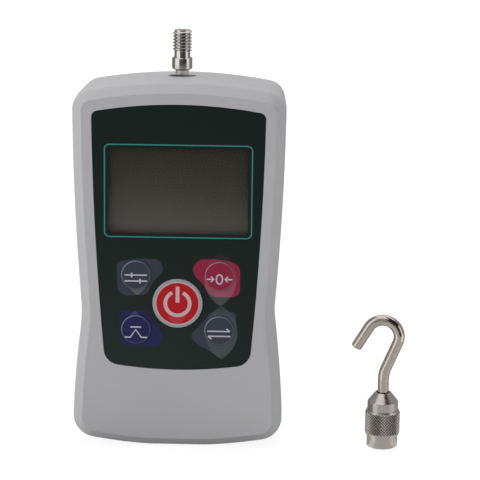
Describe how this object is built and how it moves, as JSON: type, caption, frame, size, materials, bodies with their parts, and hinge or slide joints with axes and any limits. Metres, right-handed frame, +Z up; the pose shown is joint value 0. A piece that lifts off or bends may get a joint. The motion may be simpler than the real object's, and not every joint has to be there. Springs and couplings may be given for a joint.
{
  "type": "force gauge",
  "caption": "Handheld digital force gauge: waisted grey case, film keypad with display and round keys, threaded measuring shaft on an S-shaped load cell, and a loose swivel hook.",
  "frame": {"origin": "on the flat of the case's base, on the measuring axis", "axes": "+Z up along the measuring shaft, the display faces -Y, +X to the right seen from the front"},
  "size_m": [0.1043, 0.0362, 0.1299],
  "materials": {
    "case_plastic": "fine-textured moulded ABS",
    "keypad_film": "satin printed polyester film",
    "window_acrylic": "clear acrylic",
    "zinc_steel": "zinc-plated steel",
    "lcd_glass": "dark polarised display glass",
    "backlight": "white light guide",
    "zebra_rubber": "layered silicone",
    "circuit_board": "green solder resist",
    "chip_black": "moulded epoxy",
    "buzzer_black": "moulded plastic",
    "header_white": "moulded nylon",
    "nickel_steel": "nickel-plated steel",
    "brass": "turned brass",
    "seal_rubber": "moulded rubber",
    "beam_aluminium": "machined aluminium",
    "gauge_foil": "polyimide film with foil grid",
    "dark_screw": "blackened steel",
    "cell_wrap": "shrink sleeve",
    "tray_black": "moulded plastic",
    "jack_black": "moulded plastic",
    "lead_grey": "screened lead",
    "lead_red": "insulated wire",
    "polished_steel": "polished steel rod",
    "key_slate": "printed film over plastic",
    "key_crimson": "printed film over plastic",
    "key_navy": "printed film over plastic",
    "key_red": "printed film over plastic"
  },
  "bodies": {
    "case": {"front_case": "case_plastic", "rear_case": "case_plastic", "keypad_overlay": "keypad_film", "display_window": "window_acrylic", "display_bezel": "zinc_steel", "lcd_glass": "lcd_glass", "backlight_panel": "backlight", "elastomer_strip": "zebra_rubber", "main_board": "circuit_board", "board_chips": "chip_black", "buzzer": "buzzer_black", "board_headers": "header_white", "board_screws": "zinc_steel", "contact_housings": "chip_black", "contact_domes": "zinc_steel", "guide_bush": "brass", "shaft_seal": "seal_rubber", "load_cell": "beam_aluminium", "strain_gauges": "gauge_foil", "load_cell_bolt": "dark_screw", "chassis": "zinc_steel", "chassis_screws": "zinc_steel", "mount_bushes": "brass", "amplifier_board": "circuit_board", "amplifier_spacers": "brass", "amplifier_screws": "zinc_steel", "battery_cells": "cell_wrap", "battery_tray": "tray_black", "battery_contacts": "zinc_steel", "tray_screws": "zinc_steel", "charging_jack": "jack_black", "data_socket": "zinc_steel", "socket_board": "circuit_board", "case_screws": "dark_screw", "sensor_lead": "lead_grey", "battery_lead": "lead_red"},
    "shaft": {"measuring_shaft": "nickel_steel", "shaft_lock_nut": "zinc_steel"},
    "key_set": {"key_set": "key_slate"},
    "key_zero": {"key_zero": "key_crimson"},
    "key_peak": {"key_peak": "key_navy"},
    "key_unit": {"key_unit": "key_slate"},
    "key_power": {"key_power": "key_red"},
    "coupling": {"hook_coupling": "nickel_steel"},
    "hook": {"hook_rod": "polished_steel", "rod_collar": "zinc_steel"}
  },
  "joints": [
    {"name": "shaft_slide", "type": "slide", "parent": "case", "child": "shaft", "axis": [0, 0, 1], "range_m": [-0.0003, 0.0003], "stiffness_N_per_m": 200000, "deforming": ["load_cell"]},
    {"name": "set_press", "type": "slide", "parent": "case", "child": "key_set", "axis": [0, 1, 0], "range_m": [0, 0.0004], "stiffness_N_per_m": 4000},
    {"name": "zero_press", "type": "slide", "parent": "case", "child": "key_zero", "axis": [0, 1, 0], "range_m": [0, 0.0004], "stiffness_N_per_m": 4000},
    {"name": "peak_press", "type": "slide", "parent": "case", "child": "key_peak", "axis": [0, 1, 0], "range_m": [0, 0.0004], "stiffness_N_per_m": 4000},
    {"name": "unit_press", "type": "slide", "parent": "case", "child": "key_unit", "axis": [0, 1, 0], "range_m": [0, 0.0004], "stiffness_N_per_m": 4000},
    {"name": "power_press", "type": "slide", "parent": "case", "child": "key_power", "axis": [0, 1, 0], "range_m": [0, 0.0004], "stiffness_N_per_m": 4000},
    {"name": "coupling_lift", "type": "slide", "parent": "case", "child": "coupling", "axis": [0, 0, 1], "range_m": [0, 0.15]},
    {"name": "hook_swivel", "type": "hinge", "parent": "coupling", "child": "hook", "pos_m": [0.065, -0.0148, 0], "axis": [0, 0, 1], "continuous": true}
  ]
}
